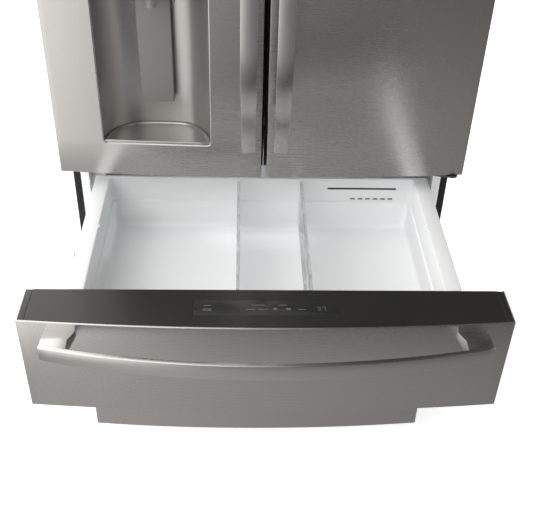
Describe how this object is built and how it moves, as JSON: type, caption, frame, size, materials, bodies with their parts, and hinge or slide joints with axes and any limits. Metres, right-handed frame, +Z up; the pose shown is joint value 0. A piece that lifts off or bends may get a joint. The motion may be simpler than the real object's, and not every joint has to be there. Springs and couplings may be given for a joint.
{
  "type": "french door refrigerator",
  "caption": "Bottom-freezer refrigerator with paired upper doors, in-door dispenser recess, open full-width middle drawer with dividers and bowed strap handles.",
  "frame": {"origin": "on the floor, under the middle of the whole outline with the middle drawer open", "axes": "+Z up, -Y out of the front towards the user, +X to the user's right when facing the front"},
  "size_m": [0.908, 1.468, 1.774],
  "materials": {
    "case_paint": "satin",
    "rear_steel": "satin",
    "foam": "matte",
    "liner_plastic": "gloss",
    "stainless": "satin",
    "black_plastic": "matte",
    "charcoal_panel": "satin",
    "grey_plastic": "satin",
    "dark_grey_plastic": "satin",
    "display_glass": "gloss",
    "clear_plastic": "gloss",
    "shelf_glass": "gloss",
    "seal_black": "matte",
    "seal_grey": "matte",
    "zinc": "satin",
    "black_steel": "satin",
    "compressor_black": "satin",
    "fin_aluminium": "satin",
    "fan_white": "satin",
    "valve_blue": "satin"
  },
  "bodies": {
    "case": {"cabinet_shell": "case_paint", "back_panel": "rear_steel", "foam_insulation": "foam", "fresh_food_liner": "liner_plastic", "drawer_liner": "liner_plastic", "freezer_liner": "liner_plastic", "base_frame": "zinc", "base_grille": "black_plastic", "levelling_legs": "black_plastic", "machine_cover": "case_paint", "compressor": "compressor_black", "condenser": "black_steel", "water_valve": "valve_blue", "evaporator": "fin_aluminium", "evaporator_cover": "liner_plastic", "air_tower": "liner_plastic", "glass_shelves": "shelf_glass", "water_filter": "fan_white", "door_hinges": "black_steel", "hinge_covers": "black_plastic", "case_rails": "zinc"},
    "left_door": {"left_door_skin": "stainless", "left_door_liner": "liner_plastic", "left_door_seal": "seal_black", "left_door_handle": "stainless", "dispenser_housing": "grey_plastic", "dispenser_tray": "grey_plastic", "dispenser_display": "display_glass", "ice_compartment": "liner_plastic", "left_door_bins": "clear_plastic"},
    "right_door": {"right_door_skin": "stainless", "right_door_liner": "liner_plastic", "right_door_seal": "seal_black", "right_door_handle": "stainless", "right_door_bins": "clear_plastic"},
    "mullion": {"door_mullion": "black_plastic"},
    "paddle": {"dispenser_paddle": "dark_grey_plastic"},
    "middle_drawer": {"drawer_skin": "stainless", "drawer_top_panel": "charcoal_panel", "drawer_inner_panel": "liner_plastic", "drawer_seal": "seal_grey", "drawer_handle": "stainless", "drawer_pan": "liner_plastic", "drawer_rails_moving": "zinc"},
    "drawer_slides": {"drawer_rails_middle": "zinc"},
    "pan_divider_left": {"divider_left": "clear_plastic"},
    "pan_divider_right": {"divider_right": "clear_plastic"},
    "freezer_drawer": {"freezer_skin": "stainless", "freezer_inner_panel": "liner_plastic", "freezer_seal": "seal_grey", "freezer_handle": "stainless", "freezer_bin": "liner_plastic", "freezer_rails_moving": "zinc"},
    "freezer_slides": {"freezer_rails_middle": "zinc"},
    "upper_basket": {"freezer_upper_basket": "liner_plastic"},
    "crisper_left": {"crisper_left": "clear_plastic"},
    "crisper_right": {"crisper_right": "clear_plastic"},
    "condenser_fan": {"condenser_fan": "black_plastic"},
    "evaporator_fan": {"evaporator_fan": "fan_white"},
    "rollers": {"rear_rollers": "black_plastic"}
  },
  "joints": [
    {"name": "left_door_hinge", "type": "hinge", "parent": "case", "child": "left_door", "pos_m": [-0.432, -0.107, 0.905], "axis": [0, 0, 1], "range_deg": [-125, 0]},
    {"name": "right_door_hinge", "type": "hinge", "parent": "case", "child": "right_door", "pos_m": [0.432, -0.107, 0.905], "axis": [0, 0, 1], "range_deg": [0, 125]},
    {"name": "mullion_fold", "type": "hinge", "parent": "left_door", "child": "mullion", "pos_m": [-0.056, -0.02, 1.32], "axis": [0, 0, 1], "range_deg": [0, 90]},
    {"name": "dispenser_paddle_press", "type": "hinge", "parent": "left_door", "child": "paddle", "pos_m": [-0.234, -0.064, 1.283], "axis": [1, 0, 0], "range_deg": [0, 2.5], "stiffness_Nm_per_rad": 4},
    {"name": "middle_drawer_slide", "type": "slide", "parent": "case", "child": "middle_drawer", "axis": [0, -1, 0], "range_m": [-0.497, 0]},
    {"name": "drawer_slide_stage", "type": "slide", "parent": "case", "child": "drawer_slides", "axis": [0, -1, 0], "range_m": [-0.2485, 0]},
    {"name": "divider_left_slide", "type": "slide", "parent": "middle_drawer", "child": "pan_divider_left", "axis": [1, 0, 0], "range_m": [-0.08, 0.05]},
    {"name": "divider_right_slide", "type": "slide", "parent": "middle_drawer", "child": "pan_divider_right", "axis": [1, 0, 0], "range_m": [-0.05, 0.08]},
    {"name": "freezer_drawer_slide", "type": "slide", "parent": "case", "child": "freezer_drawer", "axis": [0, -1, 0], "range_m": [0, 0.45]},
    {"name": "freezer_slide_stage", "type": "slide", "parent": "case", "child": "freezer_slides", "axis": [0, -1, 0], "range_m": [0, 0.225]},
    {"name": "upper_basket_slide", "type": "slide", "parent": "freezer_drawer", "child": "upper_basket", "axis": [0, 1, 0], "range_m": [0, 0.09]},
    {"name": "crisper_left_slide", "type": "slide", "parent": "case", "child": "crisper_left", "axis": [0, -1, 0], "range_m": [0, 0.11]},
    {"name": "crisper_right_slide", "type": "slide", "parent": "case", "child": "crisper_right", "axis": [0, -1, 0], "range_m": [0, 0.11]},
    {"name": "condenser_fan_spin", "type": "hinge", "parent": "case", "child": "condenser_fan", "pos_m": [0.07, 0.583, 0.165], "axis": [1, 0, 0], "continuous": true},
    {"name": "evaporator_fan_spin", "type": "hinge", "parent": "case", "child": "evaporator_fan", "pos_m": [0, 0.545, 0.598], "axis": [0, 1, 0], "continuous": true},
    {"name": "rear_roller_spin", "type": "hinge", "parent": "case", "child": "rollers", "pos_m": [0, 0.663, 0.022], "axis": [1, 0, 0], "continuous": true}
  ],
  "couplings": [
    {"joint": "mullion_fold", "follows": "left_door_hinge", "ratio": -0.72},
    {"joint": "drawer_slide_stage", "follows": "middle_drawer_slide", "ratio": 0.5},
    {"joint": "freezer_slide_stage", "follows": "freezer_drawer_slide", "ratio": 0.5}
  ]
}
